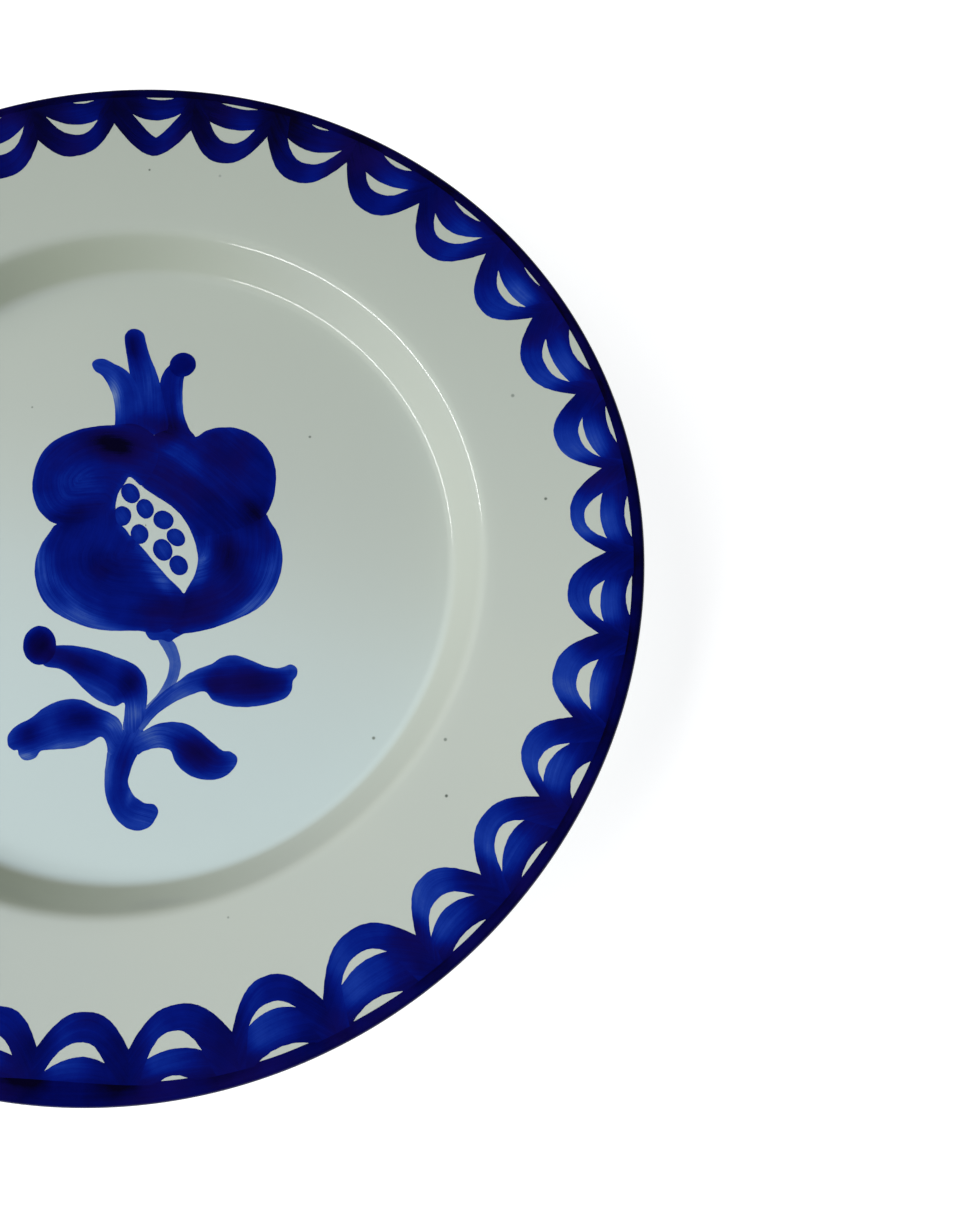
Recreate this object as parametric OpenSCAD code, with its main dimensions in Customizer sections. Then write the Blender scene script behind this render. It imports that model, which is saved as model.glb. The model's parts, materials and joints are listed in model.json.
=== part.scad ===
// Hand painted ceramic plate: a wide flange with a scalloped border, and a
// pomegranate with four leaves on the floor of the well.
// Millimetres. +Z is up, the foot ring stands on z = 0, the axis of the plate
// is the Z axis, and +Y points to the crown of the painted fruit.

/* [Plate] */
// Diameter over the glazed rim
plate_d = 300; // [296:1:304]
// Height of the sharp corner of the rim above the table, before it is rounded
rim_z = 31.4; // [31:0.1:32]
// Height of the rim's edge, from its lower to its upper corner
rim_t = 4.4; // [4.2:0.1:5]
// Rounding of the rim's upper corner
lip_round = 1.6; // [1:0.1:1.6]
// Radius of the ridge between the flange and the wall of the well
ridge_r = 103; // [102:0.5:104]
// Height of the ridge
ridge_z = 25.7; // [25:0.1:26.5]
// Radius at which the wall of the well meets its floor
well_r = 94.5; // [94:0.5:95.5]
// Height of the floor of the well
floor_z = 14.3; // [13.8:0.1:14.8]
// Thickness of the whole plate at the floor, glaze included
floor_t = 6.8; // [6:0.1:7.5]

/* [Foot] */
// Outer radius of the foot ring
foot_r = 81; // [78:0.5:83]
// Width of the foot ring's standing face
foot_w = 8; // [6:0.5:10]
// Rounding of the foot ring's lower edges
foot_round = 1.2; // [0.6:0.1:2]

/* [Glaze and paint] */
// Thickness of the glaze
glaze_t = 0.5; // [0.4:0.05:0.8]
// Thickness of the cobalt paint
paint_t = 0.15; // [0.1:0.05:0.3]

/* [Border] */
// Radius at which the painted rim line starts
line_r = 146.4; // [146:0.1:147]
// How full the bottom of a scallop is: 2 is a parabola
lobe_power = 2.5; // [1.8:0.1:2.8]
// How full the lower edge of the gap in a scallop is
gap_power = 2.5; // [1.8:0.1:2.8]
// Half the angle that the inner stroke of a scallop takes at the rim line
petal_half = 4.1; // [3.9:0.1:4.3]

/* [Hidden] */

plate_r = plate_d / 2;
flange_slope = (rim_z - ridge_z) / (plate_r - ridge_r);
foot_top_z = floor_z - floor_t + glaze_t;
art_scale = well_r / 94.5;      // the motif keeps its place on the well floor
round_steps = 8;                // straight steps in each rounded corner of the section

cobalt = "#0b1c78";
cobalt_dark = "#060c3c";
cobalt_light = "#2d44a0";
glaze_white = "#c4cabd";
clay_buff = "#c9b28f";

// ---------------------------------------------------------------- section
// Corners of the plate's section from the top centre, round the rim, to the
// bottom centre. The third value is the rounding: above 0 on an outer corner,
// below 0 on an inner one, 0 on a sharp one.
corners = [
    [0, floor_z, 0],
    [well_r, floor_z, -4.5],
    [ridge_r, ridge_z, 5.5],
    [plate_r, rim_z, lip_round],
    [plate_r - 0.4, rim_z - rim_t, 2.2],
    [plate_r - 41, rim_z - rim_t - 7.4, -14],
    [foot_r + 7.5, floor_z - floor_t, 9],
    [0, floor_z - floor_t, 0]
];

function xy(p) = [p[0], p[1]];
function unit(v) = v / norm(v);
function left_of(v) = [-v[1], v[0]];

// Corner i of the section, with every face moved inwards by t
function inset_corner(i, t) =
    i == 0 ? xy(corners[0]) + [0, -t]
    : i == len(corners) - 1 ? xy(corners[i]) + [0, t]
    : let (p = xy(corners[i]),
           a = unit(p - xy(corners[i - 1])),
           b = unit(xy(corners[i + 1]) - p),
           na = -left_of(a), nb = -left_of(b),
           k = t / (1 + na * nb))
      p + (na + nb) * k;

// Rounded corner i of the section, inset by t, as a list of points
function round_corner(i, t) =
    let (p = inset_corner(i, t),
         bend = corners[i][2],
         r = bend > 0 ? bend - t : -bend + t)
    bend == 0 ? [p]
    : let (a = unit(p - inset_corner(i - 1, t)),
           b = unit(inset_corner(i + 1, t) - p),
           turn = acos(a * b),
           reach = r * tan(turn / 2),
           side = bend > 0 ? -1 : 1,
           middle = p - a * reach + left_of(a) * side * r)
      [for (k = [0 : round_steps])
          let (w = side * turn * k / round_steps, v = -left_of(a) * side * r)
          middle + [v[0] * cos(w) - v[1] * sin(w), v[0] * sin(w) + v[1] * cos(w)]];

function flat(lists) = [for (l = lists) for (p = l) p];
function reversed(l) = [for (i = [len(l) - 1 : -1 : 0]) l[i]];
function rim_middle(t) = (inset_corner(3, t) + inset_corner(4, t)) / 2;

// The face of the plate from its centre to the middle of the rim's edge
function face_path(t) = concat(flat([for (i = [0 : 3]) round_corner(i, t)]), [rim_middle(t)]);
// The back of the plate from the middle of the rim's edge to its centre
function back_path(t) = concat([rim_middle(t)], flat([for (i = [4 : 7]) round_corner(i, t)]));
// The back of the plate from the rim to radius r, on the flat round the foot
function back_path_to(r, t) =
    concat([for (p = back_path(t)) if (p[0] > r) p], [[r, floor_z - floor_t + t]]);

module turned(path) {
    rotate_extrude($fn = 144) polygon(path);
}

module clay_body() {
    color(clay_buff) turned(concat(face_path(glaze_t), back_path(glaze_t)));
}

module foot_ring() {
    inner = foot_r - foot_w;
    color(clay_buff) turned([
        [inner - 1, foot_top_z], [inner, foot_round], [inner + foot_round, 0],
        [foot_r - foot_round, 0], [foot_r, foot_round], [foot_r + 1, foot_top_z]
    ]);
}

module face_glaze() {
    color(glaze_white) turned(concat(face_path(0), reversed(face_path(glaze_t))));
}

module back_glaze() {
    edge = foot_r + 1;
    color(glaze_white)
        turned(concat(back_path_to(edge, 0), reversed(back_path_to(edge, glaze_t))));
}

module base_glaze() {
    color(glaze_white)
        translate([0, 0, foot_top_z - glaze_t])
            cylinder(h = glaze_t, r = foot_r - foot_w - 1, $fn = 144);
}

// ----------------------------------------------------------------- border
// One row for each scallop, by eye, as no two are alike:
// cusp before it [angle, radius], innermost radius of its outer stroke,
// gap corners [left angle, radius, right angle, radius], radius of the gap's
// lower and upper edge at its middle, sliver [left angle, right angle, depth],
// and how full its bottom and its gap are if they differ from the others.
marks = [
    [[-95.6, 136], 126.9, [-94.3, 141.5, -88.1, 139.5], 134.5, 138, [-92.3, -90.3, 0.6]],
    [[-85.6, 136.5], 127.1, [-83.6, 139.3, -77.8, 139.5], 133.5, 137.8, [-83.3, -78.8, 2.7]],
    [[-74.3, 137], 126.4, [-72.4, 137, -67, 136.8], 133.2, 135, [-73, -66.3, 2.4]],
    [[-64, 138], 126, [-61.5, 137, -55.4, 136], 132.4, 134.7, [-62.4, -56, 2.4]],
    [[-51.8, 137], 126.6, [-50.6, 140, -44.1, 140], 133.8, 137, [-50, -44.8, 1.6]],
    [[-42, 137.5], 128, [-40.2, 141.3, -34.2, 138], 134, 137.3, [-39.6, -34.4, 1.6]],
    [[-31, 138], 127.3, [-29.3, 137, -24, 139], 133.4, 136, [-29.6, -24.8, 3]],
    [[-21, 137], 128, [-19.5, 141.2, -13.6, 139.5], 135, 138.8, [-17, -15.8, 0.3]],
    [[-10.5, 138], 128, [-9, 139, -4, 138.3], 134.4, 137.5, [-8.2, -3, 1.8]],
    [[-0.5, 138.5], 129, [1.2, 139, 6.9, 139], 133, 137.5, [0.9, 6.5, 1.9]],
    [[10, 140], 129, [11.4, 140.5, 16.9, 138.7], 136.2, 138, [12.4, 17.6, 1.4]],
    [[20, 139], 128.7, [21.8, 139, 28.2, 138.6], 134.8, 137.2, [21.9, 28, 2.7]],
    [[31.5, 138.5], 127.5, [33.2, 138.8, 39.2, 139.3], 135.1, 137.4, [34, 38, 0.9]],
    [[42, 140], 127.6, [43.8, 143, 50.5, 139.2], 134.2, 137.7, [45.2, 50, 1.5]],
    [[53, 138.7], 127.6, [55.2, 140.4, 61.2, 138.7], 134.6, 138, [56, 60.5, 1.8]],
    [[64, 138.7], 126.8, [65.3, 141.6, 72.4, 139.5], 133.6, 137.7, [67.6, 70.4, 0.9]],
    [[75, 138], 126.8, [76.8, 139.4, 82.7, 139.5], 133.6, 138, [76.6, 82, 1.2]],
    [[85, 136], 127.1, [86.5, 141.3, 92.6, 140.8], 133.2, 138.7, [87.2, 91.4, 0.9], [1.8, 1.3]],
    [[95, 138], 128.8, [97.1, 139.6, 103.4, 143], 135.8, 139, [97, 100.2, 0.9]]
];
scallops = 34;
seen = len(marks);
seam_deg = 105;                                     // where the listed scallops end
rest_step = (360 - seam_deg + marks[0][0][0]) / (scallops - seen);
hair_deg = 0.01;                                    // keeps neighbouring strokes apart
petal_inset = 0.6;                                  // least angle from a cusp to an inner stroke

// Angle and radius of the cusp before scallop i, where scallops past the list
// are evenly spaced, and how far scallop i is turned from the row it repeats
function cusp(i) =
    i < seen ? marks[i][0]
    : i < scallops ? [seam_deg + (i - seen) * rest_step, marks[i - seen][0][1]]
    : [marks[0][0][0] + 360, marks[0][0][1]];
function row(i) = marks[i % seen];
function turned_by(i) = cusp(i)[0] - row(i)[0][0];
function fullness(i) = len(row(i)) > 6 ? row(i)[6] : [lobe_power, gap_power];
function polar(a, r) = [r * cos(a), r * sin(a)];

// A dip from [a0, r0] to [a1, r1] whose middle lies at radius r_mid
function dip(a0, r0, a1, r1, r_mid, power, steps) =
    [for (k = [0 : steps])
        let (s = k / steps,
             deep = (1 - pow(abs(2 * s - 1), power)) * ((r0 + r1) / 2 - r_mid))
        polar(a0 + (a1 - a0) * s, r0 + (r1 - r0) * s - deep)];

function lobe(i) =
    let (a = cusp(i), b = cusp(i + 1))
    dip(a[0] + hair_deg, a[1], b[0] - hair_deg, b[1], row(i)[1], fullness(i)[0], 14);
function gap_low(i) =
    let (g = row(i)[2], t = turned_by(i))
    dip(g[0] + t, g[1], g[2] + t, g[3], row(i)[3], fullness(i)[1], 10);
function gap_top(i) =
    let (g = row(i)[2], t = turned_by(i))
    dip(g[0] + t, g[1], g[2] + t, g[3], row(i)[4], 2, 8);
function gap_mid(i) = (row(i)[2][0] + row(i)[2][2]) / 2 + turned_by(i);
function petal_left(i) = polar(max(gap_mid(i) - petal_half, cusp(i)[0] + petal_inset), line_r);
function petal_right(i) = polar(min(gap_mid(i) + petal_half, cusp(i + 1)[0] - petal_inset), line_r);
function sliver(i) =
    let (v = row(i)[5], t = turned_by(i))
    dip(v[0] + t, line_r, v[1] + t, line_r, line_r - v[2], 2, 6);

// Paint on the flange: a flat pattern cut from a cone of the paint's thickness
module on_flange() {
    low_r = ridge_r + 10;
    low_z = ridge_z + flange_slope * (low_r - ridge_r);
    high_z = ridge_z + flange_slope * (line_r - ridge_r);
    intersection() {
        translate([0, 0, low_z - 1]) linear_extrude(high_z - low_z + 2) children();
        rotate_extrude($fn = 144)
            polygon([[low_r, low_z], [line_r, high_z],
                     [line_r, high_z + paint_t], [low_r, low_z + paint_t]]);
    }
}

module rim_line() {
    inner = [line_r, ridge_z + flange_slope * (line_r - ridge_r)];
    under = concat([inner], [for (p = face_path(0)) if (p[0] > line_r) p]);
    over = concat([inner + [0, paint_t]], [for (p = face_path(-paint_t)) if (p[0] > line_r) p]);
    color(cobalt_dark) turned(concat(under, reversed(over)));
}

module outer_scallops() {
    color(cobalt)
        for (i = [0 : scallops - 1])
            on_flange()
                polygon(concat(lobe(i),
                               [polar(cusp(i + 1)[0] - hair_deg, line_r), petal_right(i)],
                               reversed(gap_low(i)),
                               [petal_left(i), polar(cusp(i)[0] + hair_deg, line_r)]));
}

module inner_scallops() {
    color(cobalt_light)
        for (i = [0 : scallops - 1])
            on_flange()
                polygon(concat([petal_left(i)], gap_top(i), [petal_right(i)], reversed(sliver(i))));
}

// ------------------------------------------------------------------ motif
// Outlines of the brush strokes on the floor of the well, by eye, in
// millimetres from the plate's axis. Each is a smooth closed curve through
// its points, and a later stroke is cut where an earlier one covers it.
lobe_upper_left = [
    [-3, 43.5], [-9.5, 43.4], [-17, 42.6], [-22.5, 41], [-28, 38], [-31.6, 33.4],
    [-33.2, 27.5], [-33.2, 22], [-31.5, 17], [-28.5, 13.3], [-24.5, 11.2], [-18.5, 11.5],
    [-12, 14], [-6.5, 17.5], [-2.5, 22], [1.5, 26], [4, 32], [3, 39]
];
lobe_upper_right = [
    [1, 38.5], [5.5, 41.6], [11, 41.2], [15, 39.6], [18, 41.5], [22, 42.7], [27, 42.6],
    [31.5, 41], [35.5, 38], [38.4, 34], [40, 29], [40.2, 24], [39.4, 19], [37, 14],
    [31, 10.5], [24, 8.5], [16, 8], [10, 14], [3, 20.5], [-2, 26], [-1, 32]
];
lobe_lower_left = [
    [-24.6, 11.6], [-27, 8.6], [-29.2, 4.5], [-30.4, -0.5], [-30, -5.5], [-28.2, -10.8],
    [-24.5, -15.2], [-19, -18.4], [-12.5, -20.7], [-6, -21.5], [1, -21.5], [8, -22],
    [13, -18.5], [15, -12], [12, -5.5], [7, 1.5], [1, 8], [-5, 15], [-9.5, 17.5], [-17, 14]
];
lobe_lower_right = [
    [36.5, 15.5], [39, 12.5], [41.6, 8], [43, 2.5], [42.9, -2.5], [41.6, -7.5],
    [39.2, -11.8], [35.5, -15.2], [30.5, -17.8], [24.5, -20.2], [18.5, -21.8], [12, -22],
    [9, -17], [12.5, -9], [13.5, -2], [13.5, 6], [18, 12.5], [29, 15]
];
// The unpainted almond in the fruit
window = [
    [-4, 26.4], [0, 23.1], [5, 19.8], [10, 16.3], [14, 11.5], [16.8, 5.5], [17.8, 0],
    [17, -4.5], [15.2, -8.3], [14.2, -10], [12.6, -8.3], [8.5, -4.3], [4, 0.7], [0, 5.2],
    [-2.6, 7.6], [-4.6, 10.2], [-7, 12], [-7.8, 16.5], [-7.2, 21.2], [-5.4, 24.6]
];
base_knot = [
    [3.8, -20.5], [3.9, -22.6], [5.6, -24.3], [8.5, -24.2], [10.8, -24.9], [12.6, -23.6],
    [16, -21.4], [13, -19.5], [8, -19]
];
// Middle, width and height, and lean of each seed
seed_marks = [
    [[-3.6, 21.2], [5.2, 6.9], 35], [[1.1, 16.3], [5, 6.6], 25],
    [[6.8, 12.8], [5.6, 6.5], 50], [[10.9, 7.3], [4.8, 6.4], 45],
    [[-5.6, 14], [5.4, 6.4], 15], [[-0.1, 8.3], [5.3, 6.4], 20],
    [[7.2, 3.4], [5.6, 7.2], 30], [[12.2, -1.4], [5.2, 6.6], 35]
];
petal_left = [
    [-18.3, 63.5], [-17, 65.1], [-14.5, 65.2], [-11, 63.4], [-7.5, 61.4], [-4, 57], [-1.5, 50],
    [0, 42], [-4, 39.5], [-9.3, 41.5], [-9.9, 45.5], [-10.4, 50], [-12, 55], [-14.6, 59.3],
    [-17.3, 61.3]
];
petal_middle = [
    [-5.5, 75.5], [-3, 74], [-1.9, 70.5], [-0.4, 66], [1.6, 61.5], [3.2, 57], [5, 50], [6.5, 42],
    [1, 40], [-3, 42], [-5, 50], [-6, 58], [-7.2, 64], [-8.3, 69], [-8.8, 72.7], [-7.8, 75]
];
petal_right = [
    [3, 56.5], [3.6, 60], [5.6, 63.2], [8.5, 64.5], [10.6, 61.5], [10.3, 57.5], [10.4, 52],
    [11.2, 46.5], [12.9, 42.3], [15, 39.3], [12, 37.5], [6, 38.5], [3.2, 45], [2.6, 51]
];
bead_at = [9.8, 63.5];
bead_r = 4.1;
stem_line = [
    [7.4, -23.8], [11.6, -24.4], [13.4, -27.2], [14.5, -31], [14.3, -34.4], [13, -38], [9.6, -43],
    [6.8, -46.2], [4.2, -47], [2.6, -45.6], [5.2, -43.8], [8.7, -39.7], [10.7, -35.2], [11.1, -31],
    [9.7, -27.8]
];
stem_curl = [
    [-0.6, -50.5], [1.8, -49.4], [4.5, -50.2], [4.9, -52.8], [4, -57], [2.7, -60], [1.8, -63.2],
    [1.5, -66], [3, -69.2], [6.2, -71.6], [9.2, -72.2], [10.5, -74], [9.9, -76.3], [8, -78.7],
    [4.6, -79.6], [1, -78.3], [-2.2, -75], [-4.4, -70.5], [-5.3, -65.5], [-5.3, -60.5], [-4.8, -56],
    [-3.5, -52.5]
];
upper_left = [
    [-25, -27], [-21, -25.8], [-15, -26.3], [-9, -27.6], [-4, -29.5], [0.9, -31.5], [4.1, -34.9],
    [5.3, -39.5], [5.3, -44], [4.3, -49], [1.5, -52], [-1, -50.5], [-0.9, -46.5], [-1.2, -43],
    [-3.6, -44], [-6.5, -43.4], [-10, -41.5], [-14, -38.2], [-17, -35.2], [-20.5, -33], [-25.5, -31.8]
];
bud_at = [-27, -25.9];
bud_size = [9.6, 11.8];
upper_right = [
    [13.5, -37], [16.5, -34.6], [20, -32.7], [23.5, -31.4], [26, -29.6], [29, -28.7], [32, -29.1],
    [35.5, -30.5], [39, -31.9], [42.5, -32.6], [44.8, -32.2], [46.7, -31.5], [48.5, -32.6],
    [48.6, -34.8], [47.5, -36.5], [47.3, -39], [45.8, -41.3], [43, -42.6], [38.5, -43.7],
    [33.5, -44.2], [28.5, -43.7], [24.5, -42.2], [21.8, -39.6], [17, -41], [12, -43.6], [8, -46.8],
    [4.5, -51], [3, -48.5], [6, -44], [9.6, -40]
];
lower_left = [
    [-1, -51], [-2.2, -47.9], [-5.2, -45.8], [-9, -44.3], [-12.5, -42.4], [-16, -41.8],
    [-20.5, -42.5], [-24.8, -44.8], [-28, -47.6], [-31.4, -49.4], [-33.8, -52.2], [-33.6, -55.3],
    [-32, -56.7], [-30.7, -56.7], [-30.3, -58.2], [-29, -59.4], [-27.4, -59.7], [-25.4, -58.8],
    [-23.8, -56.9], [-19, -56.5],
    [-14.5, -56.1], [-11, -55], [-7.4, -52.9], [-5.6, -54.6], [-4.6, -58], [-2.6, -57], [-1.5, -54]
];
lower_right = [
    [3, -53], [5.8, -50.6], [9.5, -48.9], [13.5, -48.5], [17.8, -49.3], [21.6, -51.7],
    [25.3, -54.8], [28, -56.8], [30.3, -57.1], [32.2, -58.8], [32, -61], [29.7, -63.8],
    [25.5, -65.3], [21, -64.8], [17.2, -62.9], [14.6, -60.2], [12.8, -56.7], [9, -56.1],
    [5.5, -57], [3.5, -58], [2.4, -55.5]
];

// Point at s between p1 and p2 of a smooth curve through p0, p1, p2 and p3
function smooth(p0, p1, p2, p3, s) =
    0.5 * (2 * p1 + (p2 - p0) * s + (2 * p0 - 5 * p1 + 4 * p2 - p3) * s * s
           + (3 * p1 - p0 - 3 * p2 + p3) * s * s * s);
function closed_curve(p, steps = 4) =
    let (n = len(p))
    [for (i = [0 : n - 1]) for (k = [0 : steps - 1])
        smooth(p[(i + n - 1) % n], p[i], p[(i + 1) % n], p[(i + 2) % n], k / steps)];

module stroke(points) {
    scale(art_scale) polygon(closed_curve(points));
}

module dot(at, size, lean = 0) {
    points = [for (k = [0 : 27]) let (w = 360 * k / 28)
        at + [size[0] / 2 * cos(w) * cos(lean) - size[1] / 2 * sin(w) * sin(lean),
              size[0] / 2 * cos(w) * sin(lean) + size[1] / 2 * sin(w) * cos(lean)]];
    scale(art_scale) polygon(points);
}

// Paint on the floor of the well: the first child, less all the others
module on_floor() {
    translate([0, 0, floor_z]) linear_extrude(paint_t)
        difference() {
            children(0);
            children([1 : $children - 1]);
        }
}

module bead() { dot(bead_at, [2 * bead_r, 2 * bead_r]); }
module bud() { dot(bud_at, bud_size, 12); }

module fruit_upper_left() {
    color(cobalt) on_floor() { stroke(lobe_upper_left); stroke(window); }
}
module fruit_upper_right() {
    color(cobalt) on_floor() { stroke(lobe_upper_right); stroke(window); stroke(lobe_upper_left); }
}
module fruit_lower_left() {
    color(cobalt) on_floor() {
        stroke(lobe_lower_left); stroke(window); stroke(lobe_upper_left); stroke(lobe_upper_right);
    }
}
module fruit_lower_right() {
    color(cobalt) on_floor() {
        stroke(lobe_lower_right); stroke(window); stroke(lobe_upper_right);
        stroke(lobe_upper_left); stroke(lobe_lower_left);
    }
}
module fruit_base() {
    color(cobalt_dark) on_floor() {
        stroke(base_knot); stroke(lobe_lower_left); stroke(lobe_lower_right); stroke(window);
    }
}
module seeds() {
    color(cobalt_light) translate([0, 0, floor_z]) linear_extrude(paint_t)
        intersection() {
            stroke(window);
            for (m = seed_marks) dot(m[0], m[1], m[2]);
        }
}
module crown_left() {
    color(cobalt) on_floor() {
        stroke(petal_left); stroke(lobe_upper_left); stroke(lobe_upper_right);
    }
}
module crown_middle() {
    color(cobalt) on_floor() {
        stroke(petal_middle); stroke(petal_left); stroke(lobe_upper_left); stroke(lobe_upper_right);
    }
}
module crown_right() {
    color(cobalt) on_floor() {
        stroke(petal_right); bead(); stroke(petal_middle); stroke(petal_left);
        stroke(lobe_upper_left); stroke(lobe_upper_right);
    }
}
module crown_bead() {
    color(cobalt_dark) on_floor() { bead(); stroke(petal_middle); }
}
module stem() {
    color(cobalt_light) on_floor() {
        stroke(stem_line); stroke(base_knot); stroke(upper_left); stroke(upper_right);
        stroke(stem_curl);
    }
}
module stem_foot() {
    color(cobalt) on_floor() {
        stroke(stem_curl); stroke(upper_left); stroke(upper_right);
        stroke(lower_left); stroke(lower_right);
    }
}
module leaf_upper_left() {
    color(cobalt) on_floor() { stroke(upper_left); bud(); }
}
module leaf_bud() {
    color(cobalt_dark) translate([0, 0, floor_z]) linear_extrude(paint_t) bud();
}
module leaf_upper_right() {
    color(cobalt) on_floor() { stroke(upper_right); stroke(upper_left); }
}
module leaf_lower_left() {
    color(cobalt) on_floor() { stroke(lower_left); stroke(upper_left); }
}
module leaf_lower_right() {
    color(cobalt) on_floor() {
        stroke(lower_right); stroke(upper_right); stroke(upper_left); stroke(lower_left);
    }
}

clay_body();
foot_ring();
face_glaze();
back_glaze();
base_glaze();
rim_line();
outer_scallops();
inner_scallops();
fruit_upper_left();
fruit_upper_right();
fruit_lower_left();
fruit_lower_right();
fruit_base();
seeds();
crown_left();
crown_middle();
crown_right();
crown_bead();
stem();
stem_foot();
leaf_upper_left();
leaf_bud();
leaf_upper_right();
leaf_lower_left();
leaf_lower_right();
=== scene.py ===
"""Looks of the hand painted ceramic plate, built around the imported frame.

The shapes come from the frame: the glaze is turned from the section of the packed
glaze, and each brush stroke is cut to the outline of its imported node. This script
adds what the kiln and the hand add: a slightly uneven surface, pooled and streaky
cobalt, pinholes, bare clay on the foot. Lengths are in metres unless a name says mm.
"""

import json
import math
from collections import Counter

import bpy
import numpy as np
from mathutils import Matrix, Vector, geometry, noise


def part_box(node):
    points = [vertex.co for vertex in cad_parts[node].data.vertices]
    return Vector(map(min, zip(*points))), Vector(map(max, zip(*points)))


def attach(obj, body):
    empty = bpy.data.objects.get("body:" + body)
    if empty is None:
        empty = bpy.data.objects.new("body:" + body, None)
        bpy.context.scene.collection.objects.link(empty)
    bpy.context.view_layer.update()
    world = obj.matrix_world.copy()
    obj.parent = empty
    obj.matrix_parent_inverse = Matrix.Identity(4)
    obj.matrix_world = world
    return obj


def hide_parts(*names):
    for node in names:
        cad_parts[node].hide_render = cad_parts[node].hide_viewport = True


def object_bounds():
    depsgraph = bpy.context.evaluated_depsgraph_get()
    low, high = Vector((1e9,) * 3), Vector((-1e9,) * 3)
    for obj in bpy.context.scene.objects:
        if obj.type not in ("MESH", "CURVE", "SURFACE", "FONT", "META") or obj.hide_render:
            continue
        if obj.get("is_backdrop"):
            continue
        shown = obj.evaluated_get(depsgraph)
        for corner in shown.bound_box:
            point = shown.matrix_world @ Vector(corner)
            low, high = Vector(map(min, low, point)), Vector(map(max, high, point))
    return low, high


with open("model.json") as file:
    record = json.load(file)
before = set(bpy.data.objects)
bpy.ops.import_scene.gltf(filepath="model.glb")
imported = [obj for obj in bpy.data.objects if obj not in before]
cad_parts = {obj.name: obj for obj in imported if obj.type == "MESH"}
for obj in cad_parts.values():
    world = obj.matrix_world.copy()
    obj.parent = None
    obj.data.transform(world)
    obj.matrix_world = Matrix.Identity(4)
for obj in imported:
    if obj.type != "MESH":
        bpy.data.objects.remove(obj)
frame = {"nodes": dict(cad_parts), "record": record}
cad_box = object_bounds()
nodes = frame["nodes"]
MM = 0.001

# ------------------------------------------------------------------ sizes
SEGMENTS = 360              # steps round the plate in every turned mesh
RING_MM = 2.5               # widest step between rings on flat stretches
RING_TURN = math.radians(3)     # sharpest bend between rings on round ones
PROFILE_STEP_MM = 0.35      # step along a section before its rings are chosen
CELL_MM = 0.95              # size of the triangles inside a brush stroke
EDGE_STEP_MM = 0.6          # longest step along the outline of a stroke
FILM_MM = 0.07              # how far the cobalt stands above the glaze
FILM_EDGE_MM = 0.012        # the same at a stroke's edge
FILM_FADE_MM = 1.1          # distance over which a stroke thins out to its edge
SINK_MM = 0.12              # how far a stroke is sunk into the glaze
LAP_MM = 0.05               # how far neighbouring strokes lap over each other
THROWN_MM = 0.05            # height of the rings that throwing leaves on the back
THROWN_STEP_MM = 8.5        # distance between those rings
EDGE_RAGGED_MM = 0.1        # how far a stroke's free edge wanders
TOUCH_MM = 0.08             # outlines nearer than this touch each other
RIM_REACH_MM = 0.4          # strokes that come this near to the rim line touch it
CORNER = math.radians(38)   # an outline that turns by more than this has a corner
EDGE_BAND_MM = 2.5          # width of the paler or darker band along a free edge


# ------------------------------------------------------- reading the frame
def turned_profile(node, face_up, outer):
    """Radius and height in mm of the outer or inner side of a turned glaze node."""
    mesh = nodes[node].data
    found = set()
    for poly in mesh.polygons:
        radial = (poly.center.x * poly.normal.x + poly.center.y * poly.normal.y)
        steep = abs(poly.normal.z) < 0.2
        is_outer = radial > 0 if steep else (poly.normal.z > 0) == face_up
        if is_outer == outer:
            for i in poly.vertices:
                co = mesh.vertices[i].co
                found.add((round(math.hypot(co.x, co.y) / MM, 3), round(co.z / MM, 3)))
    side = 1 if face_up else -1
    return np.array(sorted(found, key=lambda p: p[0] - 0.5 * side * p[1]))


def from_axis(points):
    """The profile with its flat middle carried to the plate's axis."""
    return np.vstack([[0, points[0, 1]], points[points[:, 0] > 0]])


def resampled(points, step):
    """The polyline points in even steps."""
    gaps = np.hypot(*np.diff(points, axis=0).T)
    run = np.concatenate([[0], np.cumsum(gaps)])
    at = np.linspace(0, run[-1], max(2, int(run[-1] / step) + 1))
    return np.column_stack([np.interp(at, run, points[:, k]) for k in range(2)])


def rings(points, widest=RING_MM):
    """A smoothed profile with close rings where it bends and wide ones where it is flat."""
    fine = resampled(points, PROFILE_STEP_MM)
    for _ in range(4):
        fine[1:-1] = 0.5 * fine[1:-1] + 0.25 * (fine[:-2] + fine[2:])
    heading = np.unwrap(np.arctan2(*np.diff(fine, axis=0).T[::-1]))
    kept, bend, gap = [0], 0.0, 0.0
    for i in range(1, len(fine) - 1):
        bend += abs(heading[i] - heading[i - 1])
        gap += PROFILE_STEP_MM
        if bend > RING_TURN or gap > widest:
            kept.append(i)
            bend = gap = 0.0
    return fine[kept + [len(fine) - 1]]


def smoothstep(low, high, value):
    """0 up to low, 1 from high on, and a smooth rise between them."""
    t = np.clip((np.asarray(value, float) - low) / (high - low), 0, 1)
    return t * t * (3 - 2 * t)


chance = np.random.default_rng(11)
WAVES = [(chance.uniform(0, math.pi), 2 * math.pi / length, chance.uniform(0, 2 * math.pi), tall)
         for length, tall in [(95, 0.02), (80, 0.02), (66, 0.016), (52, 0.014), (41, 0.01),
                              (30, 0.007), (21, 0.004), (14, 0.0025), (10, 0.0015)]]


def unevenness(x, y):
    """Height in mm that throwing, drying and glazing add at places in mm."""
    r, a = np.hypot(x, y), np.arctan2(y, x)
    height = (r / 150) ** 2 * (0.06 * np.cos(2 * a + 0.6) + 0.03 * np.cos(3 * a - 1.1))
    for way, pace, start, tall in WAVES:
        height += tall * np.sin((x * math.cos(way) + y * math.sin(way)) * pace + start)
    return height


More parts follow.
